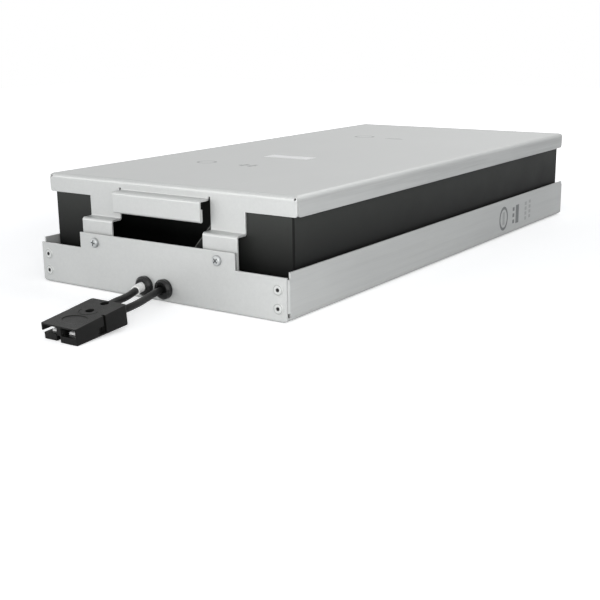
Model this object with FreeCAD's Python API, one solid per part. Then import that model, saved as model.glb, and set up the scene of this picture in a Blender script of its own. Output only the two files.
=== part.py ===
import FreeCAD, Part
import math
import os

# Battery cartridge for a rack power supply: a folded steel tray and cover around eight sealed
# lead-acid blocks, with a hand-hold lip at the front and a two-pole connector on short leads.
# Millimetres. Origin: centre of the base. Front faces -Y, the long axis is Y, +Z is up.

V = FreeCAD.Vector
os.makedirs("parts", exist_ok=True)

# ---- overall ----
WIDTH = 216.5           # outside width of tray and cover
DEPTH = 454.0           # outside depth of the tray
HEIGHT = 77.2           # top face of the cover
SHEET = 1.2             # galvanised steel, tray and cover
BEND = 0.8              # inside radius of the sheet bends
FIT = 0.1               # gap between sheet faces that lie together

# ---- tray ----
FRONT_WALL = 28.8       # height of the front and back walls at the corners
SIDE_WALL = 31.8        # height of the side walls
TAB_TOP = 39.8          # top of the middle tab that carries the cover screws
TAB_HALF = 68.2         # half width of that tab
TRAY_BEND = 3.3         # inside radius of the long bottom bends
RETURN_FLANGE = 16.0    # width of the side walls' return flanges behind the end walls
END_WALL_IN = 0.65      # the end walls stop this far inside the tray's sides
RIVET_IN = 7.05         # rivets, from the tray's sides
RIVET_Z = (8.8, 20.7)
SCREW_X = 54.0
SCREW_Z = 33.7

# ---- cover ----
FLANGE = 13.25          # height of the cover's rim
SET_BACK_FRONT = 12.0   # cover front plate behind the tray's front face
SET_BACK_REAR = 6.0     # cover rear plate ahead of the tray's rear face
COVER_BEND = 2.0        # inside radius round the cover's rim
LEG_GAP = 2.0           # legs and lip behind the inner faces of the end walls
LEG_IN = 40.0           # legs, inner edge from the middle
LEG_OUT = 68.0          # legs, outer edge
LEDGE_Z = 49.9          # top face of the step where a leg turns forward
LEG_END = 21.0          # lower end of the legs, hidden behind the tray wall
LIP_HALF = 38.3         # half width of the hand-hold lip
LIP_DROP = 7.3          # top of the lip below the cover's top
LIP_TALL = 14.6
HEM = 8.6               # height of the lip's folded-back hem
HEM_GAP = 0.3
RELIEF = 1.5            # the slots beside the lip reach this far above it

# ---- insulating liner and barrier ----
LINER = 0.8
LINER_INSET = 4.05      # liner behind the tray's outside faces
LINER_DROP = 1.6        # liner below the cover's inner face
WINDOW_LEFT = 53.0      # hand window in the liner's front, from the middle
WINDOW_RIGHT = 39.6
WINDOW_LOW = 24.0
WINDOW_SLANT = (13.0, 54.0)  # slanted corner: starts at this x below, ends at this z
WINDOW_EDGE = 0.4       # strip of liner left over the window
NOTCH = (14.0, 15.0)    # notch for the leads: half width, height
BARRIER_AHEAD = 13.0    # wall between hand space and batteries, ahead of the blocks
BARRIER = 1.5
PASSAGE = (13.0, 32.0)  # opening in that wall for the leads: half width, height

# ---- batteries, each lying on its side with the terminals toward the middle ----
HAND_SPACE = 80.0       # from the tray's front to the first blocks
CHANNEL_HALF = 4.8      # half of the wiring channel between the two columns
LID_TALL = 10.0
ROWS = 4
PAD_LOW = 1.5           # foam under the blocks
PAD_HIGH = 3.3          # foam over the blocks
PAD_REAR = 5.9          # foam behind the blocks
TERMINAL_IN = 15.0      # terminals, from the end of a block
TERMINAL_OFF = 14.0     # terminals, from the block's mid height
TAB = (5.5, 4.8, 0.8)   # spade: length, width, thickness
LINK_DIA = 3.2

# ---- leads, grommets and connector ----
LEAD_DIA = 4.8
GROMMET_X = 8.6
GROMMET_Z = 9.2
GROMMET_OD = 13.6
GROMMET_HOLE = 10.0     # hole in the tray wall
GROMMET_FACE = 4.2      # the grommet stands this far in front of the wall
SLEEVE_OD = 6.4
SLEEVE_GAP = 0.1
LEAD_GAP = 0.2          # round the lead in the grommet and in the connector
LEAD_JOINT = 5.0        # the free lead meets the inner lead this far behind the tray's front
PLUG_X = 17.8
PLUG_REACH = 101.8      # nose of the connector, from the tray's front
PLUG_TILT = 4.2         # degrees: the nose touches the ground, the leads hold the rear up
PLUG_LENGTH = 42.5
PLUG_WIDTH = 29.4
PLUG_HIGH_NOSE = 10.0
PLUG_HIGH_REAR = 12.5
CHEEK = 18.5            # length of the rear part, which stands slightly proud at the sides
PRONG_BACK = 1.2        # the left prong stops this far behind the nose
PRONG_IN = 1.1          # and stands this far inside the left wall
PRONG_HIGH = 4.05       # top of the lower prongs
ROOF = 0.9              # thickness over the contact channels at the nose
CHANNEL_LONG = 17.0     # contact channels, from the nose
PLUG_WALL = (1.6, 0.9)  # left and right walls beside the channels
MIDDLE_WALL = (-1.5, 1.9)    # wall between the channels, from the connector's middle
SIDE_SLOT = 1.6         # open slot under the left wall, over the prong
SLOT_LONG = 12.0
PRONG_GAP = (-3.5, 1.0)      # between the two prongs, from the connector's middle
POLE_OFF = 7.0          # poles, from the connector's middle
POLE_Z = 6.6
LEAD_IN_PLUG = 9.5      # how far the leads reach into the connector
PLUG_HOLE = 5.6         # mounting holes
PLUG_HOLES = (4.0, 16.5)     # from the connector's rear

HW = WIDTH / 2
HD = DEPTH / 2
END_WALL_HALF = HW - END_WALL_IN
RIVET_X = HW - RIVET_IN
LIP_TOP = HEIGHT - LIP_DROP
LIP_BOTTOM = LIP_TOP - LIP_TALL
RELIEF_TOP = LIP_TOP + RELIEF
FRONT_IN = -HD + SHEET
REAR_IN = HD - SHEET
PLATE_Y = -HD + SET_BACK_FRONT
REAR_PLATE_Y = HD - SET_BACK_REAR
LEG_Y = FRONT_IN + LEG_GAP
REAR_LEG_Y = REAR_IN - LEG_GAP
LINER_FRONT = PLATE_Y + SHEET + FIT
LINER_REAR = REAR_PLATE_Y - SHEET - FIT
LINER_HALF = HW - LINER_INSET
LINER_LOW = SHEET + FIT
LINER_HIGH = HEIGHT - SHEET - LINER_DROP
BLOCK_LOW = SHEET + PAD_LOW
BLOCK_THICK = HEIGHT - SHEET - PAD_HIGH - BLOCK_LOW
BLOCK_MID = BLOCK_LOW + BLOCK_THICK / 2
BLOCK_FRONT = -HD + HAND_SPACE
BLOCK_REAR = LINER_REAR - LINER - PAD_REAR
BLOCK_LENGTH = (BLOCK_REAR - BLOCK_FRONT) / ROWS
BARRIER_Y = BLOCK_FRONT - BARRIER_AHEAD
BLOCK_OUT = LINER_HALF - LINER - FIT
BLOCK_IN = CHANNEL_HALF
LEAD_START = -HD + LEAD_JOINT
PLUG_NOSE = -HD - PLUG_REACH
PLUG_REAR = PLUG_NOSE + PLUG_LENGTH
PLUG_HOLES_Y = [PLUG_REAR - back for back in PLUG_HOLES]


def box(x0, x1, y0, y1, z0, z1):
    return Part.makeBox(x1 - x0, y1 - y0, z1 - z0, V(x0, y0, z0))


def cyl(radius, start, axis, length):
    return Part.makeCylinder(radius, length, V(*start), V(*axis))


def fuse(shapes):
    whole = shapes[0].multiFuse(shapes[1:])
    return whole.removeSplitter()


def save(name, shape):
    solids = shape if isinstance(shape, list) else [shape]
    keep = solids[0] if len(solids) == 1 else Part.makeCompound(solids)
    for solid in keep.Solids:
        if not solid.isValid():
            print("NOT VALID", name)
    facets = 0
    for face in keep.Faces:
        facets += len(face.tessellate(0.2)[1])
    print(name, "solids", len(keep.Solids), "volume", round(keep.Volume, 1), "facets", facets)
    keep.exportStep("parts/" + name + ".step")
    return keep


# ---------------------------------------------------------------- folded sheet
def plane_xz(y):
    return lambda u, v: V(u, y, v)


def plane_yz(x):
    return lambda u, v: V(x, u, v)


def plane_xy(z):
    return lambda u, v: V(u, v, z)


def offset_left(points, gap):
    # the same path, moved to its left by gap; every corner is a right angle
    moved = []
    for i, (u, v) in enumerate(points):
        before = direction(points[i - 1], points[i]) if i > 0 else None
        after = direction(points[i], points[i + 1]) if i + 1 < len(points) else None
        shift_u = 0.0
        shift_v = 0.0
        for way in (before, after):
            if way and abs(way[1]) > 0.5:
                shift_u = -way[1] * gap
            if way and abs(way[0]) > 0.5:
                shift_v = way[0] * gap
        moved.append((u + shift_u, v + shift_v))
    return moved


def direction(a, b):
    size = math.hypot(b[0] - a[0], b[1] - a[1])
    return ((b[0] - a[0]) / size, (b[1] - a[1]) / size)


def side_edges(points, radii, place):
    # straight edges joined by quarter arcs of the given radii
    edges = []
    last = points[0]
    for i in range(1, len(points) - 1):
        corner = points[i]
        into = direction(points[i - 1], corner)
        out = direction(corner, points[i + 1])
        r = radii[i]
        start = (corner[0] - into[0] * r, corner[1] - into[1] * r)
        end = (corner[0] + out[0] * r, corner[1] + out[1] * r)
        centre = (start[0] + out[0] * r, start[1] + out[1] * r)
        k = r / math.sqrt(2)
        middle = (centre[0] + (into[0] - out[0]) * k, centre[1] + (into[1] - out[1]) * k)
        if math.hypot(start[0] - last[0], start[1] - last[1]) > 1e-4:
            edges.append(Part.LineSegment(place(*last), place(*start)).toShape())
        edges.append(Part.Arc(place(*start), place(*middle), place(*end)).toShape())
        last = end
    edges.append(Part.LineSegment(place(*last), place(*points[-1])).toShape())
    return edges


def sheet(points, bends, place, way):
    # a folded strip: its outer face follows points, the metal lies to the left of the path
    inner_side = offset_left(points, SHEET)
    near = [0.0]
    far = [0.0]
    for i in range(1, len(points) - 1):
        a = direction(points[i - 1], points[i])
        b = direction(points[i], points[i + 1])
        left_turn = a[0] * b[1] - a[1] * b[0] > 0
        near.append(bends[i - 1] + (SHEET if left_turn else 0.0))
        far.append(bends[i - 1] + (0.0 if left_turn else SHEET))
    near.append(0.0)
    far.append(0.0)
    edges = side_edges(points, near, place)
    edges.append(Part.LineSegment(place(*points[-1]), place(*inner_side[-1])).toShape())
    edges += side_edges(inner_side, far, place)
    edges.append(Part.LineSegment(place(*inner_side[0]), place(*points[0])).toShape())
    wire = Part.Wire(Part.__sortEdges__(edges))
    return Part.Face(wire).extrude(way)


def outline_prism(radius, at_top):
    # the cartridge's outside seen from the front, with its two lower or upper corners rounded
    body = box(-HW, HW, -HD - 5, HD + 5, -10.0 if at_top else 0.0, HEIGHT if at_top else HEIGHT + 10.0)
    level = HEIGHT if at_top else 0.0
    picked = []
    for edge in body.Edges:
        mid = edge.CenterOfMass
        if abs(mid.z - level) < 1e-6 and abs(abs(mid.x) - HW) < 1e-6:
            picked.append(edge)
    return body.makeFillet(radius, picked)


# ---------------------------------------------------------------- tray
def make_tray():
    trough = sheet([(-HW, SIDE_WALL), (-HW, 0.0), (HW, 0.0), (HW, SIDE_WALL)],
                   [TRAY_BEND, TRAY_BEND], plane_xz(FRONT_IN + FIT), V(0, REAR_IN - FRONT_IN - 2 * FIT, 0))
    corner = BEND + SHEET
    slot_low = 3.4
    slot_high = 6.0
    for sx in (-1, 1):
        for sy in (-1, 1):
            end = sy * (REAR_IN - FIT)
            x_range = sorted((sx * (HW - 8), sx * (HW + 1)))
            y_range = sorted((end - sy * corner, end + sy))
            trough = trough.cut(box(x_range[0], x_range[1], y_range[0], y_range[1], slot_low, SIDE_WALL + 1))
    pieces = [trough]
    # return flanges: the side walls turn inward behind the end walls
    y = REAR_IN - FIT
    x_in = HW - RETURN_FLANGE
    y_in = y - corner - 2.0
    turns = [[(x_in, -y), (HW, -y), (HW, -y_in)],
             [(-HW, -y_in), (-HW, -y), (-x_in, -y)],
             [(HW, y_in), (HW, y), (x_in, y)],
             [(-x_in, y), (-HW, y), (-HW, y_in)]]
    for turn in turns:
        pieces.append(sheet(turn, [BEND], plane_xy(slot_high), V(0, 0, FRONT_WALL - 1.5 - slot_high)))
    # end walls, folded up from the floor, with the taller tab in the middle
    span = V(2 * END_WALL_HALF, 0, 0)
    front = sheet([(-HD, TAB_TOP), (-HD, 0.0), (-HD + 14, 0.0)], [BEND], plane_yz(-END_WALL_HALF), span)
    back = sheet([(HD - 14, 0.0), (HD, 0.0), (HD, TAB_TOP)], [BEND], plane_yz(-END_WALL_HALF), span)
    ends = front.fuse(back)
    for sx in (-1, 1):
        x_range = sorted((sx * TAB_HALF, sx * (HW + 5)))
        ends = ends.cut(box(x_range[0], x_range[1], -HD - 5, HD + 5, FRONT_WALL, TAB_TOP + 5))
    pieces.append(ends.common(outline_prism(TRAY_BEND + SHEET, False)))
    tray = fuse(pieces)
    for sx in (-1, 1):
        for z in RIVET_Z:
            tray = tray.cut(cyl(RIVET_SHANK + 0.05, (sx * RIVET_X, -HD - 5, z), (0, 1, 0), DEPTH + 10))
        tray = tray.cut(cyl(SCREW_CLEAR, (sx * SCREW_X, -HD - 5, SCREW_Z), (0, 1, 0), DEPTH + 10))
        tray = tray.cut(cyl(GROMMET_HOLE / 2, (sx * GROMMET_X, -HD - 1, GROMMET_Z), (0, 1, 0), SHEET + 2))
    return tray


# ---------------------------------------------------------------- cover
def make_cover():
    rim_low = HEIGHT - FLANGE
    side_start = PLATE_Y + SHEET + 0.15
    side_length = REAR_PLATE_Y - PLATE_Y - 2 * (SHEET + 0.15)
    roof = sheet([(HW, rim_low), (HW, HEIGHT), (-HW, HEIGHT), (-HW, rim_low)],
                 [COVER_BEND, COVER_BEND], plane_xz(side_start), V(0, side_length, 0))
    # the roof follows the end bends near its corners
    turn = COVER_BEND + SHEET
    spine = [V(0, PLATE_Y, 0), V(0, REAR_PLATE_Y, 0), V(0, REAR_PLATE_Y, HEIGHT), V(0, PLATE_Y, HEIGHT),
             V(0, PLATE_Y, 0)]
    whole = Part.Face(Part.makePolygon(spine)).extrude(V(2 * HW, 0, 0))
    whole.translate(V(-HW, 0, 0))
    top = [e for e in whole.Edges if abs(e.tangentAt(e.FirstParameter).x) > 0.9
           and e.CenterOfMass.z > HEIGHT - 1e-6]
    roof = roof.common(whole.makeFillet(turn, top))
    # the rim's lower corners are rounded
    round_off = 2.0
    for sx in (-1, 1):
        for y, sy in ((side_start, -1), (side_start + side_length, 1)):
            x_range = sorted((sx * (HW - 4), sx * (HW + 1)))
            y_range = sorted((y, y - sy * round_off))
            chip = box(x_range[0], x_range[1], y_range[0], y_range[1], rim_low, rim_low + round_off)
            disc = cyl(round_off, (x_range[0], y - sy * round_off, rim_low + round_off), (1, 0, 0), 5.0)
            roof = roof.cut(chip.cut(disc))
    pieces = [roof]
    inset = 12.0
    front_rim = [(PLATE_Y + inset, HEIGHT), (PLATE_Y, HEIGHT), (PLATE_Y, rim_low)]
    front_leg = [(PLATE_Y + inset, HEIGHT), (PLATE_Y, HEIGHT), (PLATE_Y, LEDGE_Z),
                 (LEG_Y, LEDGE_Z), (LEG_Y, LEG_END)]
    hem_back = LEG_Y + 2 * SHEET + HEM_GAP
    front_lip = [(PLATE_Y + inset, HEIGHT), (PLATE_Y, HEIGHT), (PLATE_Y, LIP_TOP), (LEG_Y, LIP_TOP),
                 (LEG_Y, LIP_BOTTOM), (hem_back, LIP_BOTTOM), (hem_back, LIP_BOTTOM + HEM)]
    front_slot = [(PLATE_Y + inset, HEIGHT), (PLATE_Y, HEIGHT), (PLATE_Y, RELIEF_TOP)]
    rear_rim = [(REAR_PLATE_Y, rim_low), (REAR_PLATE_Y, HEIGHT), (REAR_PLATE_Y - inset, HEIGHT)]
    rear_leg = [(REAR_LEG_Y, LEG_END), (REAR_LEG_Y, LEDGE_Z), (REAR_PLATE_Y, LEDGE_Z),
                (REAR_PLATE_Y, HEIGHT), (REAR_PLATE_Y - inset, HEIGHT)]
    edge = HW - 0.35
    hem_bend = HEM_GAP / 2
    rims = []
    for x0, x1 in ((-edge, -LEG_OUT), (LEG_OUT, edge)):
        rims.append(sheet(front_rim, [COVER_BEND], plane_yz(x0), V(x1 - x0, 0, 0)))
    rims.append(sheet(rear_rim, [COVER_BEND], plane_yz(-edge), V(2 * edge, 0, 0)))
    prism = outline_prism(COVER_BEND + SHEET, True)
    for rim in rims:
        rim = rim.common(prism)
        for sx in (-1, 1):
            x_range = sorted((sx * (edge - round_off), sx * (edge + 1)))
            chip = box(x_range[0], x_range[1], -HD, HD, rim_low - 1, rim_low + round_off)
            disc = cyl(round_off, (sx * (edge - round_off), -HD, rim_low + round_off), (0, 1, 0), DEPTH)
            rim = rim.cut(chip.cut(disc))
        pieces.append(rim)
    for x0, x1 in ((-LEG_OUT, -LEG_IN), (LEG_IN, LEG_OUT)):
        across = V(x1 - x0, 0, 0)
        pieces.append(sheet(front_leg, [COVER_BEND, BEND, BEND], plane_yz(x0), across))
        pieces.append(sheet(rear_leg, [BEND, BEND, COVER_BEND], plane_yz(x0), across))
    pieces.append(sheet(front_slot, [COVER_BEND], plane_yz(-LEG_IN), V(2 * LEG_IN, 0, 0)))
    pieces.append(sheet(front_lip, [COVER_BEND, BEND, BEND, hem_bend, hem_bend],
                        plane_yz(-LIP_HALF), V(2 * LIP_HALF, 0, 0)))
    cover = fuse(pieces)
    for sx in (-1, 1):
        # relief holes where the bends meet at the top corners
        for y in (PLATE_Y - 1, REAR_PLATE_Y - 2.2):
            cover = cover.cut(cyl(0.8, (sx * (HW - 2.2), y, HEIGHT - 2.2), (0, 1, 0), 3.2))
        for y in (-HD - 2, HD - 8):
            cover = cover.cut(cyl(NUT_SEAT, (sx * SCREW_X, y, SCREW_Z), (0, 1, 0), 10))
    return cover


# ---------------------------------------------------------------- fasteners
RIVET_SHANK = 2.0
RIVET_HEAD = 3.7
RIVET_HEAD_HIGH = 0.6
RIVET_BORE = 1.1
SCREW_CLEAR = 2.2
SCREW_HEAD = 3.5
SCREW_HEAD_HIGH = 2.1
SCREW_SHANK = 1.95
SCREW_LONG = 7.1
SCREW_TURNS = (10, 45)  # how far each cross recess is turned
NUT_COLLAR = 3.6
NUT_SEAT = 2.9
NUT_FLANGE = 4.0
NUT_LONG = 3.7


def make_rivet(x, y, z, way):
    # blind rivet: low domed head outside, bulb behind the return flange, bored by its mandrel
    grip = 2 * SHEET + FIT
    profile = [V(RIVET_BORE, 0, -RIVET_HEAD_HIGH), V(RIVET_HEAD - 0.6, 0, -RIVET_HEAD_HIGH),
               V(RIVET_HEAD, 0, -0.2), V(RIVET_HEAD, 0, 0), V(RIVET_SHANK, 0, 0),
               V(RIVET_SHANK, 0, grip), V(RIVET_SHANK + 0.7, 0, grip), V(RIVET_SHANK + 0.7, 0, grip + 1.6),
               V(RIVET_SHANK - 0.3, 0, grip + 2.6), V(RIVET_BORE, 0, grip + 2.6)]
    body = Part.Face(Part.makePolygon(profile + [profile[0]])).revolve(V(0, 0, 0), V(0, 0, 1), 360)
    mandrel = Part.makeCylinder(RIVET_BORE, 1.8, V(0, 0, grip + 0.4))
    body = body.fuse(mandrel).removeSplitter()
    body.rotate(V(0, 0, 0), V(1, 0, 0), -90 if way > 0 else 90)
    body.translate(V(x, y, z))
    return body


def make_screw(x, y, z, way, turn):
    head = Part.makeCylinder(SCREW_HEAD, SCREW_HEAD_HIGH, V(0, 0, -SCREW_HEAD_HIGH))
    rim = [e for e in head.Edges if abs(e.CenterOfMass.z + SCREW_HEAD_HIGH) < 1e-6 and e.Closed]
    head = head.makeChamfer(1.0, rim[:1])
    screw = head.fuse(Part.makeCylinder(SCREW_SHANK, SCREW_LONG))
    for angle in (turn, turn + 90):
        slot = Part.makeBox(4.0, 0.9, 1.2, V(-2.0, -0.45, -SCREW_HEAD_HIGH - 0.1))
        slot.rotate(V(0, 0, 0), V(0, 0, 1), angle)
        screw = screw.cut(slot)
    screw.rotate(V(0, 0, 0), V(1, 0, 0), -90 if way > 0 else 90)
    screw.translate(V(x, y, z))
    return screw


def make_nut(x, y, z, way):
    # clinch nut pressed into the cover's leg; its collar spaces the leg from the end wall
    body = Part.makeCylinder(NUT_COLLAR, LEG_GAP, V(0, 0, -LEG_GAP))
    body = body.fuse(Part.makeCylinder(NUT_SEAT, SHEET))
    body = body.fuse(Part.makeCylinder(NUT_FLANGE, NUT_LONG - SHEET, V(0, 0, SHEET)))
    body = body.cut(Part.makeCylinder(SCREW_SHANK + 0.05, NUT_LONG + LEG_GAP + 2, V(0, 0, -LEG_GAP - 1)))
    body = body.removeSplitter()
    body.rotate(V(0, 0, 0), V(1, 0, 0), -90 if way > 0 else 90)
    body.translate(V(x, y, z))
    return body


# ---------------------------------------------------------------- tubes along a route
def tube_path(points):
    # straight runs joined by tangent arcs; each arc as large as its two runs allow
    pts = [V(*p) for p in points]
    path = []
    radii = []
    last = pts[0]
    for i in range(1, len(pts) - 1):
        a = pts[i - 1] - pts[i]
        b = pts[i + 1] - pts[i]
        short = min(a.Length, b.Length)
        a.normalize()
        b.normalize()
        half = (math.pi - a.getAngle(b)) / 2
        cut = 0.45 * short
        radius = cut / math.tan(half)
        start = pts[i] + a * cut
        end = pts[i] + b * cut
        bisector = a + b
        bisector.normalize()
        middle = pts[i] + bisector * (radius / math.cos(half) - radius)
        path.append(("line", last, start))
        path.append(("arc", start, middle, end))
        radii.append(round(radius, 1))
        last = end
    path.append(("line", last, pts[-1]))
    return path, radii


def path_wire(path):
    edges = []
    for piece in path:
        if piece[0] == "line":
            edges.append(Part.LineSegment(piece[1], piece[2]).toShape())
        else:
            edges.append(Part.Arc(piece[1], piece[2], piece[3]).toShape())
    return Part.Wire(edges)


def tube(name, path, radii, outer, inner=0.0):
    wire = path_wire(path)
    start = wire.Edges[0].valueAt(wire.Edges[0].FirstParameter)
    along = wire.Edges[0].tangentAt(wire.Edges[0].FirstParameter)
    disc = Part.Wire(Part.makeCircle(outer, start, along))
    solid = wire.makePipeShell([disc], True, True)
    if inner > 0:
        core = wire.makePipeShell([Part.Wire(Part.makeCircle(inner, start, along))], True, True)
        solid = solid.cut(core)
    expected = math.pi * (outer * outer - inner * inner) * wire.Length
    print(name, "length", round(wire.Length, 1), "radii", radii,
          "volume", round(solid.Volume, 1), "expected", round(expected, 1))
    return solid


def part_of_path(path, begin, finish):
    # the stretch of a path between two distances from its start
    kept = []
    done = 0.0
    for piece in path:
        edge = path_wire([piece]).Edges[0]
        size = edge.Length
        low = max(begin - done, 0.0)
        high = min(finish - done, size)
        if high - low > 1e-4:
            ends = [edge.valueAt(edge.getParameterByLength(s)) for s in (low, (low + high) / 2, high)]
            if piece[0] == "line":
                kept.append(("line", ends[0], ends[2]))
            else:
                kept.append(("arc", ends[0], ends[1], ends[2]))
        done += size
    return kept


# ---------------------------------------------------------------- grommets
def make_grommet(x):
    face = -HD - GROMMET_FACE
    r = GROMMET_OD / 2
    bore = LEAD_DIA / 2 + LEAD_GAP
    mouth = SLEEVE_OD / 2 + 0.3
    hole = GROMMET_HOLE / 2
    rear = FRONT_IN + 2.6
    profile = [V(r - 1.5, face, 0), V(r, face + 1.5, 0), V(r, -HD, 0), V(hole, -HD, 0), V(hole, FRONT_IN, 0),
               V(r - 0.6, FRONT_IN, 0), V(r - 1.2, rear, 0), V(bore, rear, 0), V(bore, face + 1.6, 0),
               V(mouth, face + 1.6, 0), V(mouth, face, 0), V(r - 1.5, face, 0)]
    body = Part.Face(Part.makePolygon(profile)).revolve(V(0, 0, 0), V(0, 1, 0), 360)
    body.translate(V(x, 0, GROMMET_Z))
    return body


# ---------------------------------------------------------------- batteries
def make_battery(index):
    # odd numbers stand in the left column, even numbers in the right one, front to back
    side = -1 if index % 2 else 1
    row = (index - 1) // 2
    y0 = BLOCK_FRONT + row * BLOCK_LENGTH + 0.15
    y1 = BLOCK_FRONT + (row + 1) * BLOCK_LENGTH - 0.15
    z0 = BLOCK_LOW
    z1 = BLOCK_LOW + BLOCK_THICK
    split = BLOCK_IN + LID_TALL
    x_case = sorted((side * BLOCK_OUT, side * split))
    case = box(x_case[0], x_case[1], y0, y1, z0, z1)
    along_x = [e for e in case.Edges if abs(e.tangentAt(e.FirstParameter).x) > 0.9]
    case = case.makeFillet(2.0, along_x)
    x_lid = sorted((side * split, side * BLOCK_IN))
    lid = box(x_lid[0], x_lid[1], y0, y1, z0, z1)
    along_x = [e for e in lid.Edges if abs(e.tangentAt(e.FirstParameter).x) > 0.9]
    lid = lid.makeFillet(2.0, along_x)
    # vent cover strip, let into the lid, on the side away from the terminals
    z_term = BLOCK_MID + side * TERMINAL_OFF
    groove_z = BLOCK_MID - side * TERMINAL_OFF
    rim = box(-0.6, 0.6, y0 + 12, y1 - 12, groove_z - 9, groove_z + 9)
    rim = rim.cut(box(-1, 1, y0 + 13, y1 - 13, groove_z - 8, groove_z + 8))
    rim.translate(V(side * BLOCK_IN, 0, 0))
    lid = lid.cut(rim)
    tabs = []
    for y in (y0 - 0.15 + TERMINAL_IN, y1 + 0.15 - TERMINAL_IN):
        reach = sorted((side * (BLOCK_IN + 3.0), side * (BLOCK_IN - TAB[0])))
        tab = box(reach[0], reach[1], y - TAB[1] / 2, y + TAB[1] / 2,
                  z_term - TAB[2] / 2, z_term + TAB[2] / 2)
        foot = sorted((side * (BLOCK_IN + 3.0), side * BLOCK_IN))
        base = box(foot[0], foot[1], y - 3.5, y + 3.5, z_term - 3.0, z_term + 3.0)
        lid = lid.cut(base)
        tabs.append(tab.fuse(base).removeSplitter())
    return case, lid, tabs


BARREL = 3.0            # crimp barrel of a receptacle
RECEPTACLE_HALF = 3.2


def make_receptacle(side, y, way):
    # flag receptacle pushed on a spade; its barrel points along Y
    z = BLOCK_MID + side * TERMINAL_OFF
    x_range = sorted((side * (BLOCK_IN - 0.4), side * (BLOCK_IN - TAB[0] - 0.6)))
    body = box(x_range[0], x_range[1], y - RECEPTACLE_HALF, y + RECEPTACLE_HALF, z - 1.7, z + 1.7)
    x_tab = sorted((side * (BLOCK_IN + 1), side * (BLOCK_IN - TAB[0])))
    body = body.cut(box(x_tab[0], x_tab[1], y - TAB[1] / 2, y + TAB[1] / 2, z - TAB[2] / 2, z + TAB[2] / 2))
    barrel = cyl(1.9, (-side * LINK_OFF, y + way * RECEPTACLE_HALF, z), (0, way, 0), BARREL)
    return body.fuse(barrel).removeSplitter()


LINK_OFF = -1.9         # wires lie this far to their own column's side of the middle


# ---------------------------------------------------------------- connector
def tip_plug(shape):
    shape.rotate(V(0, PLUG_NOSE, 0), V(1, 0, 0), PLUG_TILT)
    return shape


def in_plug(x, ahead, z):
    # a point of the tilted connector: ahead is the distance in front of its rear face
    along = PLUG_LENGTH - ahead
    tilt = math.radians(PLUG_TILT)
    return (x, round(PLUG_NOSE + along * math.cos(tilt) - z * math.sin(tilt), 1),
            round(along * math.sin(tilt) + z * math.cos(tilt), 1))


def plug_slab(x0, x1, y0):
    # the connector's wedge between two x values, from y0 to its rear face
    rise = (PLUG_HIGH_REAR - PLUG_HIGH_NOSE) / PLUG_LENGTH
    low = PLUG_HIGH_NOSE + rise * (y0 - PLUG_NOSE)
    profile = [V(x0, y0, 0), V(x0, PLUG_REAR, 0), V(x0, PLUG_REAR, PLUG_HIGH_REAR), V(x0, y0, low),
               V(x0, y0, 0)]
    return Part.Face(Part.makePolygon(profile)).extrude(V(x1 - x0, 0, 0))


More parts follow.
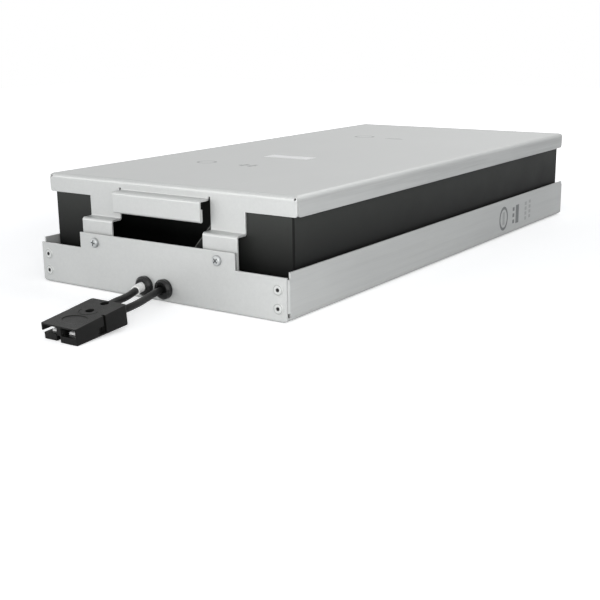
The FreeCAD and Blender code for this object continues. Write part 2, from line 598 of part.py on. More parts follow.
def make_housing():
    left = PLUG_X - PLUG_WIDTH / 2
    right = PLUG_X + PLUG_WIDTH / 2
    body = plug_slab(left + 0.2, right - 0.2, PLUG_NOSE)
    corners = [e for e in body.Edges if abs(e.tangentAt(e.FirstParameter).z) > 0.99
               and abs(e.CenterOfMass.y - PLUG_NOSE) < 1e-6]
    body = body.makeFillet(0.7, corners)
    # rear cheeks stand slightly proud of the sides, their back corners rounded
    cheek_y = PLUG_REAR - CHEEK
    cheeks = plug_slab(left, right, cheek_y)
    corners = [e for e in cheeks.Edges if abs(e.tangentAt(e.FirstParameter).z) > 0.99
               and abs(e.CenterOfMass.y - PLUG_REAR) < 1e-6]
    ahead = box(left - 5, right + 5, PLUG_NOSE - 5, PLUG_REAR - CHEEK / 2, -5, 40)
    body = body.common(ahead).fuse(cheeks.makeFillet(1.8, corners)).removeSplitter()
    for sx in (-1, 1):
        edge_x = PLUG_X + sx * PLUG_WIDTH / 2
        # side groove, open upward on the right, and the notch at its foot
        groove_top = PLUG_HIGH_REAR + 1 if sx > 0 else PLUG_HIGH_NOSE - 0.6
        x_range = sorted((edge_x - sx * 2.0, edge_x + sx))
        body = body.cut(box(x_range[0], x_range[1], cheek_y - 1.6, cheek_y, 0.9, groove_top))
        x_range = sorted((edge_x - sx * 3.0, edge_x + sx))
        body = body.cut(box(x_range[0], x_range[1], cheek_y - 6.0, cheek_y - 1.5, 0.9, 5.2))
    # front: a thin roof over two channels, with the wall between them and two lower prongs
    under_roof = PLUG_HIGH_NOSE - ROOF
    channel_back = PLUG_NOSE + CHANNEL_LONG
    for x0, x1 in ((left + PLUG_WALL[0], PLUG_X + MIDDLE_WALL[0]),
                   (PLUG_X + MIDDLE_WALL[1], right - PLUG_WALL[1])):
        body = body.cut(box(x0, x1, PLUG_NOSE - 1, channel_back, PRONG_HIGH, under_roof))
    # slot under the left wall, and the left prong's set-back
    slot_top = PRONG_HIGH + SIDE_SLOT
    slot_back = PLUG_NOSE + SLOT_LONG
    body = body.cut(box(left - 1, left + PLUG_WALL[0] + 0.1, PLUG_NOSE - 1, slot_back, PRONG_HIGH, slot_top))
    body = body.cut(box(left - 1, left + PRONG_IN, PLUG_NOSE - 1, slot_back, -1, slot_top))
    body = body.cut(box(left - 1, PLUG_X, PLUG_NOSE - 1, PLUG_NOSE + PRONG_BACK, -1, PRONG_HIGH))
    # gap between the prongs
    body = body.cut(box(PLUG_X + PRONG_GAP[0], PLUG_X + PRONG_GAP[1], PLUG_NOSE - 1, PLUG_NOSE + 11.0,
                        -1, PRONG_HIGH))
    # lead sockets
    for sx in (-1, 1):
        x = PLUG_X + sx * POLE_OFF
        body = body.cut(cyl(LEAD_DIA / 2 + LEAD_GAP, (x, PLUG_REAR + 1, POLE_Z),
                            (0, -1, 0), LEAD_IN_PLUG + 1))
        # contact slot from the socket to the channel
        body = body.cut(box(x - CONTACT_WIDE / 2 - 0.1, x + CONTACT_WIDE / 2 + 0.1,
                            channel_back - 1, PLUG_REAR - LEAD_IN_PLUG + 0.2,
                            CONTACT_LOW - 0.1, CONTACT_LOW + CONTACT_THICK + 0.1))
    # mounting holes down through the middle, a shallow half ring ahead of the front one
    for y in PLUG_HOLES_Y:
        body = body.cut(cyl(PLUG_HOLE / 2, (PLUG_X, y, -1), (0, 0, 1), PLUG_HIGH_REAR + 2))
    slope = math.degrees(math.atan2(PLUG_HIGH_REAR - PLUG_HIGH_NOSE, PLUG_LENGTH))
    ring = Part.makeCylinder(6.9, 1.0).cut(Part.makeCylinder(6.3, 1.0)).cut(box(-8, 8, 0, 8, -1, 2))
    # shallow oval recess on the top face, bare
    oval = Part.makeCylinder(9.6, 0.8)
    stretch = FreeCAD.Matrix()
    stretch.scale(1.0, 0.62, 1.0)
    oval = oval.transformGeometry(stretch)
    for shape, off, back, deep in ((ring, 0.0, PLUG_LENGTH - PLUG_HOLES[1], 0.3), (oval, 2.0, 12.0, 0.35)):
        shape.rotate(V(0, 0, 0), V(1, 0, 0), slope)
        level = PLUG_HIGH_NOSE + back * (PLUG_HIGH_REAR - PLUG_HIGH_NOSE) / PLUG_LENGTH
        shape.translate(V(PLUG_X + off, PLUG_NOSE + back, level - deep))
        body = body.cut(shape)
    return tip_plug(body)


CONTACT_WIDE = 6.4
CONTACT_THICK = 1.4
CONTACT_LOW = 4.15
TONGUE_BACK = 4.6       # tip of a contact, behind the nose


def make_contact(sx):
    # flat tongue, its tip chamfered, its rear end against the lead
    x = PLUG_X + sx * POLE_OFF
    y0 = PLUG_NOSE + TONGUE_BACK
    y1 = PLUG_REAR - LEAD_IN_PLUG
    tongue = box(x - CONTACT_WIDE / 2, x + CONTACT_WIDE / 2, y0, y1, CONTACT_LOW, CONTACT_LOW + CONTACT_THICK)
    edge = [e for e in tongue.Edges if abs(e.CenterOfMass.y - y0) < 1e-6
            and abs(e.CenterOfMass.z - CONTACT_LOW - CONTACT_THICK) < 1e-6]
    return tip_plug(tongue.makeChamfer(0.6, edge))


# ================================================================ the pieces
save("tray", make_tray())
save("cover", make_cover())

liner = box(-LINER_HALF, LINER_HALF, LINER_FRONT, LINER_REAR, LINER_LOW, LINER_HIGH)
upright = [e for e in liner.Edges if abs(e.tangentAt(e.FirstParameter).z) > 0.9]
liner = liner.makeFillet(1.5, upright)
hollow = box(-LINER_HALF + LINER, LINER_HALF - LINER, LINER_FRONT + LINER, LINER_REAR - LINER, 0, HEIGHT)
upright = [e for e in hollow.Edges if abs(e.tangentAt(e.FirstParameter).z) > 0.9]
liner = liner.cut(hollow.makeFillet(0.7, upright))
# hand window, its lower right corner cut slantwise
window_high = LINER_HIGH - WINDOW_EDGE
window = [V(-WINDOW_LEFT, 0, WINDOW_LOW), V(WINDOW_SLANT[0], 0, WINDOW_LOW),
          V(WINDOW_RIGHT, 0, WINDOW_SLANT[1]), V(WINDOW_RIGHT, 0, window_high),
          V(-WINDOW_LEFT, 0, window_high), V(-WINDOW_LEFT, 0, WINDOW_LOW)]
opening = Part.Face(Part.makePolygon(window)).extrude(V(0, 6.0, 0))
opening.translate(V(0, LINER_FRONT - 3.0, 0))
# notch under the window for the two leads
notch = box(-NOTCH[0], NOTCH[0], LINER_FRONT - 1, LINER_FRONT + 3, 0, NOTCH[1])
save("insulating_liner", liner.cut(opening).cut(notch))

barrier = box(-BLOCK_OUT, BLOCK_OUT, BARRIER_Y, BARRIER_Y + BARRIER, LINER_LOW, LINER_HIGH)
barrier = barrier.cut(box(-PASSAGE[0], PASSAGE[0], BARRIER_Y - 1, BARRIER_Y + BARRIER + 1, 0, PASSAGE[1]))
save("terminal_barrier", barrier)

# foam: under, over and behind the blocks
save("foam_pad_bottom", box(-BLOCK_OUT, BLOCK_OUT, BLOCK_FRONT, BLOCK_REAR, SHEET, BLOCK_LOW))
save("foam_pad_top", box(-BLOCK_OUT + 4, BLOCK_OUT - 4, BLOCK_FRONT, BLOCK_REAR,
                         BLOCK_LOW + BLOCK_THICK, HEIGHT - SHEET))
save("foam_pad_rear", box(-BLOCK_OUT + 1, BLOCK_OUT - 1, BLOCK_REAR, LINER_REAR - LINER,
                          BLOCK_LOW, LINER_HIGH))

for number in range(1, 2 * ROWS + 1):
    case, lid, tabs = make_battery(number)
    save("battery_case_%d" % number, case)
    save("battery_lid_%d" % number, lid)
    save("battery_tabs_%d" % number, tabs)

# series links: three along each column, one across at the rear
receptacles = []
first_y = BLOCK_FRONT + TERMINAL_IN
last_y = BLOCK_REAR - TERMINAL_IN
for side in (-1, 1):
    x = -side * LINK_OFF
    z = BLOCK_MID + side * TERMINAL_OFF
    receptacles.append(make_receptacle(side, first_y, -1))
    receptacles.append(make_receptacle(side, last_y, 1))
    for joint in range(1, ROWS):
        y = BLOCK_FRONT + joint * BLOCK_LENGTH
        receptacles.append(make_receptacle(side, y - TERMINAL_IN, 1))
        receptacles.append(make_receptacle(side, y + TERMINAL_IN, -1))
        reach = TERMINAL_IN - RECEPTACLE_HALF - BARREL
        name = "series_link_%s_%d" % ("left" if side < 0 else "right", joint)
        save(name, cyl(LINK_DIA / 2, (x, y - reach, z), (0, 1, 0), 2 * reach))
save("receptacles", receptacles)
rear_y = last_y + RECEPTACLE_HALF + BARREL
z_left = BLOCK_MID - TERMINAL_OFF
z_right = BLOCK_MID + TERMINAL_OFF
route = [(LINK_OFF, rear_y, z_left), (LINK_OFF, BLOCK_REAR - 2.0, z_left),
         (-LINK_OFF, BLOCK_REAR - 2.0, z_right), (-LINK_OFF, rear_y, z_right)]
path, radii = tube_path(route)
save("series_link_rear", tube("series_link_rear", path, radii, LINK_DIA / 2))

# leads inside the tray, from the terminals at the front to the grommets
inner_end = first_y - RECEPTACLE_HALF - BARREL
turn_y = BLOCK_FRONT - 2.5
positive_inner = [(-GROMMET_X, LEAD_START, GROMMET_Z), (-GROMMET_X, LEAD_START + 20.0, GROMMET_Z),
                  (1.4 - GROMMET_X, LEAD_START + 43.0, GROMMET_Z + 1.0),
                  (LINK_OFF - 1.5, BARRIER_Y - 1.0, 16.0), (LINK_OFF, turn_y, z_left),
                  (LINK_OFF, inner_end, z_left)]
negative_inner = [(GROMMET_X, LEAD_START, GROMMET_Z), (GROMMET_X, LEAD_START + 22.0, GROMMET_Z),
                  (GROMMET_X - 1.2, LEAD_START + 45.0, GROMMET_Z + 0.6), (3.1 - LINK_OFF, BARRIER_Y, 17.0),
                  (1.3 - LINK_OFF, turn_y - 4.0, 33.0), (-LINK_OFF, turn_y, z_right),
                  (-LINK_OFF, inner_end, z_right)]
for name, route in (("inner_lead_positive", positive_inner), ("inner_lead_negative", negative_inner)):
    path, radii = tube_path(route)
    save(name, tube(name, path, radii, LEAD_DIA / 2))

# free leads, from the grommets to the connector lying in front
poles = [[in_plug(PLUG_X + sx * POLE_OFF, ahead, POLE_Z) for ahead in (-2.5, LEAD_IN_PLUG - 0.3)]
         for sx in (-1, 1)]
at_left, in_left = poles[0]
at_right, in_right = poles[1]
positive_route = [(-GROMMET_X, LEAD_START, GROMMET_Z), (-GROMMET_X, -HD - 5.5, GROMMET_Z),
                  (4.8 - GROMMET_X, -HD - 17.5, GROMMET_Z - 0.8),
                  (9.4 - GROMMET_X, -HD - 29.5, GROMMET_Z - 0.8),
                  (at_left[0] - 6.6, at_left[1] + 14.4, at_left[2] - 0.7), at_left, in_left]
negative_route = [(GROMMET_X, LEAD_START, GROMMET_Z), (GROMMET_X, -HD - 5.0, GROMMET_Z),
                  (GROMMET_X + 3.6, -HD - 17.5, GROMMET_Z - 0.2),
                  (GROMMET_X + 8.4, -HD - 30.0, GROMMET_Z - 0.2),
                  (at_right[0] - 3.2, at_right[1] + 13.9, at_right[2] - 0.5), at_right, in_right]
print("positive route", [[round(v, 1) for v in point] for point in positive_route])
print("negative route", [[round(v, 1) for v in point] for point in negative_route])
for name, route in (("lead_positive", positive_route), ("lead_negative", negative_route)):
    path, radii = tube_path(route)
    save(name, tube(name, path, radii, LEAD_DIA / 2))
path, radii = tube_path(positive_route)
mouth = LEAD_START + HD + GROMMET_FACE
stretch = part_of_path(path, mouth - 1.2, mouth + 9.6)
save("polarity_sleeve", tube("polarity_sleeve", stretch, radii, SLEEVE_OD / 2, LEAD_DIA / 2 + SLEEVE_GAP))

save("grommet_left", make_grommet(-GROMMET_X))
save("grommet_right", make_grommet(GROMMET_X))

save("connector_housing", make_housing())
save("connector_contact_left", make_contact(-1))
save("connector_contact_right", make_contact(1))

for end, way in (("front", 1), ("rear", -1)):
    rivets = []
    screws = []
    nuts = []
    for i, sx in enumerate((-1, 1)):
        y = -way * HD
        for z in RIVET_Z:
            rivets.append(make_rivet(sx * RIVET_X, y, z, way))
        screws.append(make_screw(sx * SCREW_X, y, SCREW_Z, way, SCREW_TURNS[i]))
        nuts.append(make_nut(sx * SCREW_X, way * LEG_Y, SCREW_Z, way))
    save("rivets_" + end, rivets)
    save("cover_screws_" + end, screws)
    save("clinch_nuts_" + end, nuts)
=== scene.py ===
import math

import bpy
from mathutils import Matrix, Vector


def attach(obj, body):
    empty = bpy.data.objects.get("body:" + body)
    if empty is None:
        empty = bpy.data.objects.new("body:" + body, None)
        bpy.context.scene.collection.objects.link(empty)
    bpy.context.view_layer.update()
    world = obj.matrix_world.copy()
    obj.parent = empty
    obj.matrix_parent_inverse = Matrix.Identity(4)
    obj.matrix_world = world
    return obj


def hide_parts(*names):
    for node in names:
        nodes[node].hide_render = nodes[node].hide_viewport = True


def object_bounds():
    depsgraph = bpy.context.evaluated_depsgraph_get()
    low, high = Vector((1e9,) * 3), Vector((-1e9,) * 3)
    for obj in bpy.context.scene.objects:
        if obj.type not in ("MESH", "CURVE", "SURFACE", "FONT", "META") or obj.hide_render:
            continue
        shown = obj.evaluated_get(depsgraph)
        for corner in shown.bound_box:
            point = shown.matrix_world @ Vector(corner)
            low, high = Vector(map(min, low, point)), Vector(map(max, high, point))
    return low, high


# Battery cartridge for a rack power supply: looks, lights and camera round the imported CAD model.
# Metres, in the row frame: front faces -Y, +Z up, origin at the centre of the base.
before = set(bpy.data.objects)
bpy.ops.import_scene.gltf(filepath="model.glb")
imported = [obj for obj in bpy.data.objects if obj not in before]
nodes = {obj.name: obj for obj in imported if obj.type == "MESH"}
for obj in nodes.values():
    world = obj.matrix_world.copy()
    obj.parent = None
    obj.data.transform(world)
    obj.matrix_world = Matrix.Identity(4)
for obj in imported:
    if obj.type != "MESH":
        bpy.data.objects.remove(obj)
cad_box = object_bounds()

# ---------------------------------------------------------------- places on the part
HALF_WIDTH, TOP = cad_box[1][0], cad_box[1][2]
SKIN = 0.0004                # how far under a face a field of colour still counts as on it
LINER_FRONT = -0.2137        # outer face of the black liner's front
LINER_FOLD = (0.1030, 0.1041)                            # its fold lines, from the middle
WINDOW_SLANT = ((0.0130, 0.0240), (0.0396, 0.0540))      # x, z at the ends of the window's slanted edge
RIVET_X, RIVET_Z = 0.1012, (0.0088, 0.0207)
SCREW_PLACE = (0.054, 0.0337)
SCREW_SUNK = 0.22895         # the screws' recesses lie nearer the middle than this
LEAD_DIAMETER = 0.0048


# ---------------------------------------------------------------- node helpers
class Shader:
    """A material with a Principled shader, and short calls for the nodes that feed it."""

    def __init__(self, name, roughness, metallic=0.0, **sockets):
        self.material = bpy.data.materials.new(name)
        self.material.use_nodes = True
        self.tree = self.material.node_tree
        self.bsdf = self.tree.nodes["Principled BSDF"]
        self.bsdf.inputs["Roughness"].default_value = roughness
        self.bsdf.inputs["Metallic"].default_value = metallic
        for key, value in sockets.items():
            self.bsdf.inputs[key.replace("_", " ")].default_value = value

    def node(self, kind, **values):
        made = self.tree.nodes.new(kind)
        for key, value in values.items():
            setattr(made, key, value)
        return made

    def link(self, source, target):
        self.tree.links.new(source, target)

    def coords(self, scale=(1.0, 1.0, 1.0)):
        place = self.node("ShaderNodeTexCoord")
        mapping = self.node("ShaderNodeMapping")
        mapping.inputs["Scale"].default_value = scale
        self.link(place.outputs["Object"], mapping.inputs["Vector"])
        return mapping.outputs["Vector"]

    def noise(self, scale, detail=4.0, roughness=0.55, stretch=(1.0, 1.0, 1.0)):
        tex = self.node("ShaderNodeTexNoise")
        tex.inputs["Scale"].default_value = scale
        tex.inputs["Detail"].default_value = detail
        tex.inputs["Roughness"].default_value = roughness
        self.link(self.coords(stretch), tex.inputs["Vector"])
        return tex.outputs["Fac"]

    def remap(self, source, low, high, from_low=0.3, from_high=0.7):
        tex = self.node("ShaderNodeMapRange")
        tex.inputs["From Min"].default_value = from_low
        tex.inputs["From Max"].default_value = from_high
        tex.inputs["To Min"].default_value = low
        tex.inputs["To Max"].default_value = high
        self.link(source, tex.inputs["Value"])
        return tex.outputs["Result"]

    def math(self, kind, a, b):
        made = self.node("ShaderNodeMath", operation=kind)
        for socket, value in zip(made.inputs, (a, b)):
            if isinstance(value, (int, float)):
                socket.default_value = value
            else:
                self.link(value, socket)
        return made.outputs["Value"]

    def blend(self, factor, first, second):
        # the base colour, from the first to the second
        made = self.node("ShaderNodeMix", data_type="RGBA")
        self.link(factor, made.inputs["Factor"])
        made.inputs["A"].default_value = (*first, 1.0)
        made.inputs["B"].default_value = (*second, 1.0)
        self.link(made.outputs["Result"], self.bsdf.inputs["Base Color"])

    def bump(self, height, strength, distance, edge=None):
        # edge: radius by which the corners of the piece look rounded
        made = self.node("ShaderNodeBump")
        made.inputs["Strength"].default_value = strength
        made.inputs["Distance"].default_value = distance
        self.link(height, made.inputs["Height"])
        if edge:
            soft = self.node("ShaderNodeBevel", samples=6)
            soft.inputs["Radius"].default_value = edge
            self.link(soft.outputs["Normal"], made.inputs["Normal"])
        self.link(made.outputs["Normal"], self.bsdf.inputs["Normal"])

    def axes(self):
        place = self.node("ShaderNodeTexCoord")
        parts = self.node("ShaderNodeSeparateXYZ")
        self.link(place.outputs["Object"], parts.inputs["Vector"])
        return [parts.outputs[axis] for axis in "XYZ"]

    def within(self, value, low, high):
        above = self.math("GREATER_THAN", value, low)
        return self.math("MULTIPLY", above, self.math("LESS_THAN", value, high))

    def bar(self, u, v, u_range, v_range):
        return self.math("MULTIPLY", self.within(u, *u_range), self.within(v, *v_range))

    def ring(self, u, v, centre, radii, half_line):
        # half_line is a share of the radii
        du = self.math("DIVIDE", self.math("SUBTRACT", u, centre[0]), radii[0])
        dv = self.math("DIVIDE", self.math("SUBTRACT", v, centre[1]), radii[1])
        square = self.math("ADD", self.math("MULTIPLY", du, du), self.math("MULTIPLY", dv, dv))
        return self.within(self.math("SQRT", square, 0.0), 1.0 - half_line, 1.0 + half_line)

    def disc(self, u, v, centre, radius):
        # a ring of half the radius, with a line so wide that it fills the middle
        return self.ring(u, v, centre, (radius / 2, radius / 2), 1.0)

    def any_of(self, masks):
        whole = masks[0]
        for mask in masks[1:]:
            whole = self.math("MAXIMUM", whole, mask)
        return whole

    def paint(self, mask, color, cover=1.0):
        # a field of colour over whatever feeds the base colour
        target = self.bsdf.inputs["Base Color"]
        below = target.links[0].from_socket
        made = self.node("ShaderNodeMix", data_type="RGBA")
        self.link(self.math("MULTIPLY", mask, cover), made.inputs["Factor"])
        self.link(below, made.inputs["A"])
        made.inputs["B"].default_value = (*color, 1.0)
        self.link(made.outputs["Result"], target)


INK = (0.1, 0.105, 0.11)
METAL = 0.4                  # how metallic the bare sheet looks


def sheet_steel(name, streaks):
    # galvanised and skin-passed: pale, satin, faintly clouded, with fine rolling lines along Y
    s = Shader(name, roughness=0.42, metallic=METAL, Specular_IOR_Level=0.4)
    cloud = s.noise(14.0, 5.0, 0.6)
    lines = s.noise(60.0, 6.0, 0.7, (9.0, 0.25, 9.0))
    grain = s.noise(900.0, 3.0, 0.5)
    mixed = s.math("ADD", s.math("MULTIPLY", cloud, 0.4), s.math("MULTIPLY", lines, 0.6))
    s.blend(s.remap(mixed, 0.0, 1.0), (0.52, 0.528, 0.52), (0.585, 0.593, 0.582))
    if streaks:
        # broad rolling streaks on the upright faces along the sides
        x, _, _ = s.axes()
        upright = s.math("GREATER_THAN", s.math("ABSOLUTE", x, 0.0), HALF_WIDTH - SKIN)
        band = s.remap(s.noise(42.0, 5.0, 0.65, (1.0, 0.16, 6.5)), 0.0, 1.0, 0.46, 0.64)
        s.paint(s.math("MULTIPLY", upright, band), (0.46, 0.466, 0.458), streaks)
    s.link(s.remap(mixed, 0.38, 0.5), s.bsdf.inputs["Roughness"])
    height = s.math("ADD", s.math("MULTIPLY", grain, 0.3), s.math("MULTIPLY", lines, 0.7))
    s.bump(height, 0.09, 0.0003, 0.00028)
    return s


def cover_steel():
    # the cover carries a blank paper label and four faint plain print fields
    s = sheet_steel("galvanised_steel_cover", 0.7)
    x, y, z = s.axes()
    top = s.math("GREATER_THAN", z, TOP - SKIN)
    marks = [s.ring(x, y, (-0.0465, -0.113), (0.0072, 0.0066), 0.13),
             s.bar(x, y, (-0.0151, 0.0011), (-0.1145, -0.1128)),
             s.bar(x, y, (-0.0118, -0.0085), (-0.119, -0.108)),
             s.bar(x, y, (-0.0040, -0.0008), (-0.119, -0.108)),
             s.ring(x, y, (-0.038, 0.105), (0.0085, 0.0075), 0.12),
             s.bar(x, y, (-0.013, 0.005), (0.0985, 0.1005)),
             s.bar(x, y, (-0.013, 0.001), (0.1035, 0.1052))]
    s.paint(s.math("MULTIPLY", top, s.any_of(marks)), INK, 0.5)
    label = s.math("MULTIPLY", top, s.bar(x, y, (-0.029, 0.012), (-0.064, -0.050)))
    s.paint(label, (0.98, 0.98, 0.97))
    # paper isn't metallic
    s.link(s.math("SUBTRACT", METAL, s.math("MULTIPLY", label, METAL)), s.bsdf.inputs["Metallic"])
    return s.material


def tray_steel():
    # the tray's right side carries a ring, a barred field and two columns of small fields, all plain
    s = sheet_steel("galvanised_steel_tray", 0.25)
    x, y, z = s.axes()
    side = s.math("GREATER_THAN", x, HALF_WIDTH - SKIN)
    dark = [s.ring(y, z, (0.0922, 0.0160), (0.0076, 0.0090), 0.14),
            s.bar(y, z, (0.1176, 0.1242), (0.0080, 0.0240))]
    for low in (0.0088, 0.0142, 0.0196):
        dark.append(s.bar(y, z, (0.1108, 0.1148), (low, low + 0.0032)))
    s.paint(s.math("MULTIPLY", side, s.any_of(dark)), INK, 0.78)
    faint = [s.bar(y, z, (0.0900, 0.0944), (0.0105, 0.0215))]
    for number in range(4):
        low = 0.0078 + 0.0044 * number
        faint.append(s.bar(y, z, (0.1372, 0.1415), (low, low + 0.0031)))
        faint.append(s.bar(y, z, (0.1462, 0.1505), (low + 0.0008, low + 0.0036)))
    s.paint(s.math("MULTIPLY", side, s.any_of(faint)), INK, 0.33)
    return s.material


def black_sheet():
    # thin insulating sheet, satin, with a painted sheen that makes it a little greyer toward its upper
    # edge
    s = Shader("black_sheet", roughness=0.5, Specular_IOR_Level=0.12)
    cloud = s.noise(26.0, 4.0)
    grain = s.noise(1500.0, 2.0)
    x, y, z = s.axes()
    # painted sheen: greyer toward the top by height, plus random clouding
    painted_sheen_and_cloud = s.math("ADD", s.remap(z, 0.0, 0.85, 0.03, 0.066), s.math("MULTIPLY", cloud, 0.15))
    s.blend(painted_sheen_and_cloud, (0.0016, 0.0017, 0.0016), (0.043, 0.045, 0.0425))
    # painted shade: the sheet's sharp folds get a dark line on its front
    front = s.math("LESS_THAN", y, LINER_FRONT + 0.001)
    fold_shade = s.within(s.math("ABSOLUTE", x, 0.0), *LINER_FOLD)
    s.paint(s.math("MULTIPLY", fold_shade, front), (0.001, 0.001, 0.001), 0.8)
    # painted highlight: the cut edge of the window's slanted corner is painted lighter, where it catches
    # the light
    (low_x, low_z), (high_x, high_z) = WINDOW_SLANT
    run, rise = high_x - low_x, high_z - low_z
    length = math.hypot(run, rise)
    beside = s.math("SUBTRACT", s.math("MULTIPLY", x, rise / length), s.math("MULTIPLY", z, run / length))
    on_edge = (low_x * rise - low_z * run) / length
    edge = s.bar(beside, x, (on_edge - 0.0001, on_edge + 0.0007), (low_x, high_x))
    s.paint(s.math("MULTIPLY", edge, front), (0.13, 0.13, 0.125), 0.75)
    s.link(s.remap(cloud, 0.44, 0.56), s.bsdf.inputs["Roughness"])
    s.bump(grain, 0.12, 0.0002)
    return s.material


def foam():
    s = Shader("foam", roughness=0.95)
    cell = s.noise(1400.0, 3.0)
    s.blend(s.remap(cell, 0.0, 1.0), (0.02, 0.02, 0.02), (0.06, 0.06, 0.06))
    s.bump(cell, 0.7, 0.0006)
    return s.material


def moulded(name, dark, light, rough, *, grain_size=2200.0, strength=0.25, edge=None, gloss=0.5):
    s = Shader(name, roughness=rough, Specular_IOR_Level=gloss)
    cloud = s.noise(60.0, 4.0)
    grain = s.noise(grain_size, 3.0)
    s.blend(s.remap(cloud, 0.0, 1.0), dark, light)
    s.link(s.remap(cloud, rough - 0.05, rough + 0.06), s.bsdf.inputs["Roughness"])
    s.bump(grain, strength, 0.0002, edge)
    return s.material


def plated_shader(name, dark, light, rough, metallic=1.0):
    s = Shader(name, roughness=rough, metallic=metallic)
    cloud = s.noise(240.0, 4.0)
    s.blend(s.remap(cloud, 0.0, 1.0), dark, light)
    s.link(s.remap(cloud, rough - 0.05, rough + 0.08), s.bsdf.inputs["Roughness"])
    s.bump(s.noise(2600.0, 3.0), 0.12, 0.0002)
    return s


def plated(*values):
    return plated_shader(*values).material


def rivet_aluminium():
    # dull aluminium, with painted shade in the bore and round the rim of the head
    s = plated_shader("rivet_aluminium", (0.56, 0.57, 0.558), (0.63, 0.64, 0.625), 0.42, 0.4)
    x, _, z = s.axes()
    across = s.math("ABSOLUTE", x, 0.0)
    for height in RIVET_Z:
        place = (RIVET_X, height)
        # painted shade: a dark ring round the rim of the head, and a dark disc in the bore
        s.paint(s.ring(across, z, place, (0.0031, 0.0031), 0.07), (0.16, 0.16, 0.155), 0.55)
        s.paint(s.disc(across, z, place, 0.0013), (0.03, 0.03, 0.03), 0.85)
    return s.material


def screw_zinc():
    # bright zinc, with painted shade in the cross recess and round the rim of the head
    s = plated_shader("screw_zinc", (0.5, 0.52, 0.52), (0.64, 0.655, 0.65), 0.38, 0.65)
    x, y, z = s.axes()
    across = s.math("ABSOLUTE", x, 0.0)
    sunk = s.math("LESS_THAN", s.math("ABSOLUTE", y, 0.0), SCREW_SUNK)
    # painted shade in the cross recess, then round the rim of the head
    cross = s.math("MULTIPLY", sunk, s.disc(across, z, SCREW_PLACE, 0.0024))
    s.paint(cross, (0.13, 0.14, 0.145), 0.7)
    s.paint(s.ring(across, z, SCREW_PLACE, (0.0033, 0.0033), 0.07), (0.2, 0.205, 0.21), 0.55)
    return s.material


COVER_STEEL = cover_steel()
TRAY_STEEL = tray_steel()
BLACK = black_sheet()
FOAM = foam()
CASE = moulded("battery_case", (0.06, 0.06, 0.07), (0.09, 0.09, 0.1), 0.5)
JACKET = moulded("lead_jacket", (0.003, 0.003, 0.003), (0.006, 0.006, 0.006), 0.38,
                 grain_size=1600.0, strength=0.1, gloss=0.2)
SLEEVE = moulded("white_sleeve", (0.86, 0.86, 0.84), (0.93, 0.93, 0.91), 0.4,
                 grain_size=700.0, strength=0.2)
RUBBER = moulded("grommet_rubber", (0.004, 0.004, 0.004), (0.008, 0.008, 0.008), 0.24,
                 grain_size=900.0, strength=0.08, gloss=0.4)
HOUSING = moulded("connector_black", (0.004, 0.004, 0.0037), (0.0085, 0.0085, 0.008), 0.42,
                  grain_size=2600.0, strength=0.3, edge=0.0004, gloss=0.2)
SILVER = plated("silvered_contact", (0.95, 0.95, 0.94), (0.99, 0.99, 0.98), 0.3, 0.3)
BRASS = plated("tinned_brass", (0.6, 0.58, 0.52), (0.72, 0.7, 0.64), 0.3)
RIVET = rivet_aluminium()
SCREW = screw_zinc()
ZINC = plated("zinc_steel", (0.56, 0.58, 0.58), (0.7, 0.715, 0.71), 0.3, 0.7)

# by how the name of a node starts; where two starts fit, the longer one counts
LOOKS = {
    "tray": TRAY_STEEL, "cover": COVER_STEEL, "insulating_liner": BLACK, "terminal_barrier": BLACK,
    "foam": FOAM, "battery_case": CASE, "battery_lid": CASE, "battery_tabs": BRASS,
    "series_link": JACKET, "receptacles": BRASS, "inner_lead": JACKET, "lead_": JACKET,
    "polarity_sleeve": SLEEVE, "grommet": RUBBER, "connector_housing": HOUSING,
    "connector_contact": SILVER, "rivets": RIVET, "cover_screws": SCREW, "clinch_nuts": ZINC,
}


def dress(obj, material):
    obj.data.materials.clear()
    obj.data.materials.append(material)


for name, obj in nodes.items():
    fitting = [start for start in LOOKS if name.startswith(start)]
    if fitting:
        dress(obj, LOOKS[max(fitting, key=len)])

# ---------------------------------------------------------------- free leads
POSITIVE = [(-0.0086, -0.2220, 0.0092), (-0.0086, -0.2325, 0.0092), (-0.0038, -0.2445, 0.0084),
            (0.0008, -0.2565, 0.0084), (0.0042, -0.2700, 0.0092), (0.0108, -0.2844, 0.0099),
            (0.0108, -0.2961, 0.0090)]
NEGATIVE = [(0.0086, -0.2220, 0.0092), (0.0086, -0.2320, 0.0092), (0.0122, -0.2445, 0.0090),
            (0.0170, -0.2570, 0.0090), (0.0216, -0.2705, 0.0094), (0.0248, -0.2844, 0.0099),
            (0.0248, -0.2961, 0.0090)]


def lead(name, node, points):
    curve = bpy.data.curves.new(name, "CURVE")
    curve.dimensions = "3D"
    curve.bevel_depth = LEAD_DIAMETER / 2
    curve.bevel_resolution = 8
    curve.resolution_u = 16
    curve.use_fill_caps = True
    spline = curve.splines.new("NURBS")
    spline.points.add(len(points) - 1)
    for point, place in zip(spline.points, points):
        point.co = (*place, 1.0)
    spline.order_u = 3
    spline.use_endpoint_u = True
    obj = bpy.data.objects.new(name, curve)
    bpy.context.collection.objects.link(obj)
    curve.materials.append(JACKET)
    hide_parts(node)
    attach(obj, "root")


lead("positive_lead", "lead_positive", POSITIVE)
lead("negative_lead", "lead_negative", NEGATIVE)


# ---------------------------------------------------------------- floor, backdrop, light
FLOOR_HALF = 2.2
FLOOR_DROP = 0.0003          # the floor lies this far under the tray, so no faces coincide
GLOW_FROM, GLOW_TO = (0.28, 0.42), (0.75, 0.9)           # distance from the origin, strength


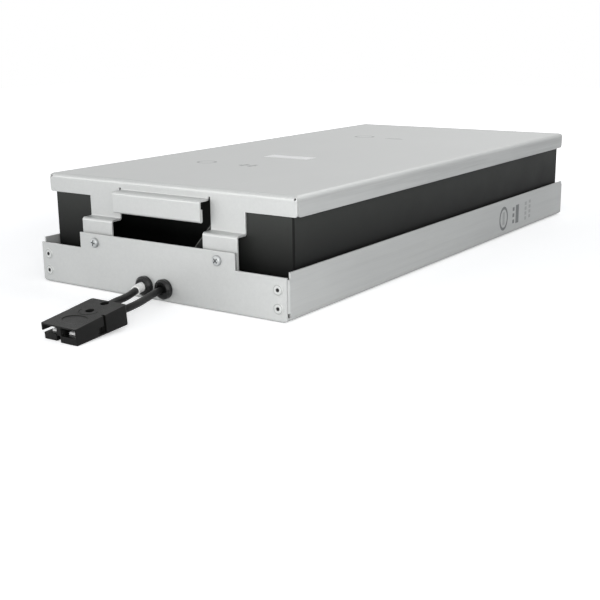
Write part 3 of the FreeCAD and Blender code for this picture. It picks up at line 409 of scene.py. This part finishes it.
def stage_material():
    # pale floor: takes the shadow, and shows as white where it is fully lit
    material = bpy.data.materials.new("stage_floor")
    material.use_nodes = True
    tree = material.node_tree
    tree.nodes.clear()
    out = tree.nodes.new("ShaderNodeOutputMaterial")
    diffuse = tree.nodes.new("ShaderNodeBsdfDiffuse")
    diffuse.inputs["Color"].default_value = (0.9, 0.9, 0.9, 1.0)
    glow = tree.nodes.new("ShaderNodeEmission")
    glow.inputs["Color"].default_value = (1.0, 1.0, 1.0, 1.0)
    path = tree.nodes.new("ShaderNodeLightPath")
    # it glows more away from the cartridge, so the shadow stays and the distance is white
    place = tree.nodes.new("ShaderNodeTexCoord")
    distance = tree.nodes.new("ShaderNodeVectorMath")
    distance.operation = "LENGTH"
    tree.links.new(place.outputs["Object"], distance.inputs[0])
    rise = tree.nodes.new("ShaderNodeMapRange")
    rise.inputs["From Min"].default_value, rise.inputs["To Min"].default_value = GLOW_FROM
    rise.inputs["From Max"].default_value, rise.inputs["To Max"].default_value = GLOW_TO
    tree.links.new(distance.outputs["Value"], rise.inputs["Value"])
    level = tree.nodes.new("ShaderNodeMath")
    level.operation = "MULTIPLY"
    tree.links.new(rise.outputs["Result"], level.inputs[1])
    tree.links.new(path.outputs["Is Camera Ray"], level.inputs[0])
    tree.links.new(level.outputs["Value"], glow.inputs["Strength"])
    add = tree.nodes.new("ShaderNodeAddShader")
    tree.links.new(diffuse.outputs["BSDF"], add.inputs[0])
    tree.links.new(glow.outputs["Emission"], add.inputs[1])
    tree.links.new(add.outputs["Shader"], out.inputs["Surface"])
    return material


def studio_floor():
    corners = [(sx * FLOOR_HALF, sy * FLOOR_HALF, 0) for sx, sy in ((-1, -1), (1, -1), (1, 1), (-1, 1))]
    mesh = bpy.data.meshes.new("floor")
    mesh.from_pydata(corners, [], [(0, 1, 2, 3)])
    mesh.materials.append(stage_material())
    floor = bpy.data.objects.new("floor", mesh)
    floor.location = (0, 0, -FLOOR_DROP)
    bpy.context.collection.objects.link(floor)


def studio_world():
    # a soft sky for the light, and plain white where the camera or a reflection meets it
    world = bpy.data.worlds.new("studio")
    bpy.context.scene.world = world
    world.use_nodes = True
    tree = world.node_tree
    tree.nodes.clear()

    def background(color, strength):
        made = tree.nodes.new("ShaderNodeBackground")
        made.inputs["Color"].default_value = (*color, 1.0)
        made.inputs["Strength"].default_value = strength
        return made.outputs["Background"]

    def either(first, second):
        made = tree.nodes.new("ShaderNodeMath")
        made.operation = "MAXIMUM"
        tree.links.new(first, made.inputs[0])
        tree.links.new(second, made.inputs[1])
        return made.outputs["Value"]

    path = tree.nodes.new("ShaderNodeLightPath").outputs
    mix = tree.nodes.new("ShaderNodeMixShader")
    through = either(path["Is Glossy Ray"], path["Is Transmission Ray"])
    tree.links.new(either(path["Is Camera Ray"], through), mix.inputs["Fac"])
    tree.links.new(background((0.93, 0.96, 1.0), 0.36), mix.inputs[1])
    tree.links.new(background((1.0, 1.0, 1.0), 1.0), mix.inputs[2])
    out = tree.nodes.new("ShaderNodeOutputWorld")
    tree.links.new(mix.outputs["Shader"], out.inputs["Surface"])


def softbox(name, place, target, size, power, mirrored=True):
    # mirrored: whether the box itself shows in reflections
    light = bpy.data.lights.new(name, "AREA")
    light.shape = "RECTANGLE"
    light.size, light.size_y = size
    light.energy = power
    obj = bpy.data.objects.new(name, light)
    obj.location = place
    obj.rotation_euler = (Vector(target) - Vector(place)).to_track_quat("-Z", "Y").to_euler()
    obj.visible_camera = False
    obj.visible_glossy = mirrored
    bpy.context.collection.objects.link(obj)


studio_floor()
studio_world()
# name, place, aim, width and height, watts
softbox("key_left", (-1.1, -1.5, 0.35), (0, -0.2, 0.03), (1.5, 1.0), 7.6)
softbox("front_low", (0.0, -1.35, 0.16), (0, -0.25, 0.02), (1.0, 0.3), 2.0)
softbox("near_right", (0.30, -0.56, 0.13), (0.1, -0.22, 0.02), (0.16, 0.16), 0.95, mirrored=False)
softbox("right", (1.3, -0.9, 0.6), (0.1, -0.05, 0.03), (1.9, 1.5), 7.3)
softbox("top", (0.15, 0.85, 1.1), (0, 0.15, 0), (1.3, 1.0), 5.0)

# ---------------------------------------------------------------- camera
AZIMUTH, ELEVATION, ROLL = (math.radians(angle) for angle in (34.740, 14.722, -0.676))
LENS = 62.16                 # millimetres, on a 36 mm wide picture
PLACE = (0.4613, -0.7229, 0.1753)


def photograph_camera():
    back = Vector((math.sin(AZIMUTH) * math.cos(ELEVATION), -math.cos(AZIMUTH) * math.cos(ELEVATION),
                   math.sin(ELEVATION)))
    level = Vector((0, 0, 1)).cross(back).normalized()
    upright = back.cross(level)
    right = math.cos(ROLL) * level + math.sin(ROLL) * upright
    up = -math.sin(ROLL) * level + math.cos(ROLL) * upright
    data = bpy.data.cameras.new("camera")
    data.sensor_width = 36.0
    data.lens = LENS
    data.clip_start = 0.01
    camera = bpy.data.objects.new("camera", data)
    camera.matrix_world = Matrix.Translation(PLACE) @ Matrix((right, up, back)).transposed().to_4x4()
    bpy.context.collection.objects.link(camera)
    bpy.context.scene.camera = camera
    bpy.context.scene.view_settings.view_transform = "Standard"


photograph_camera()
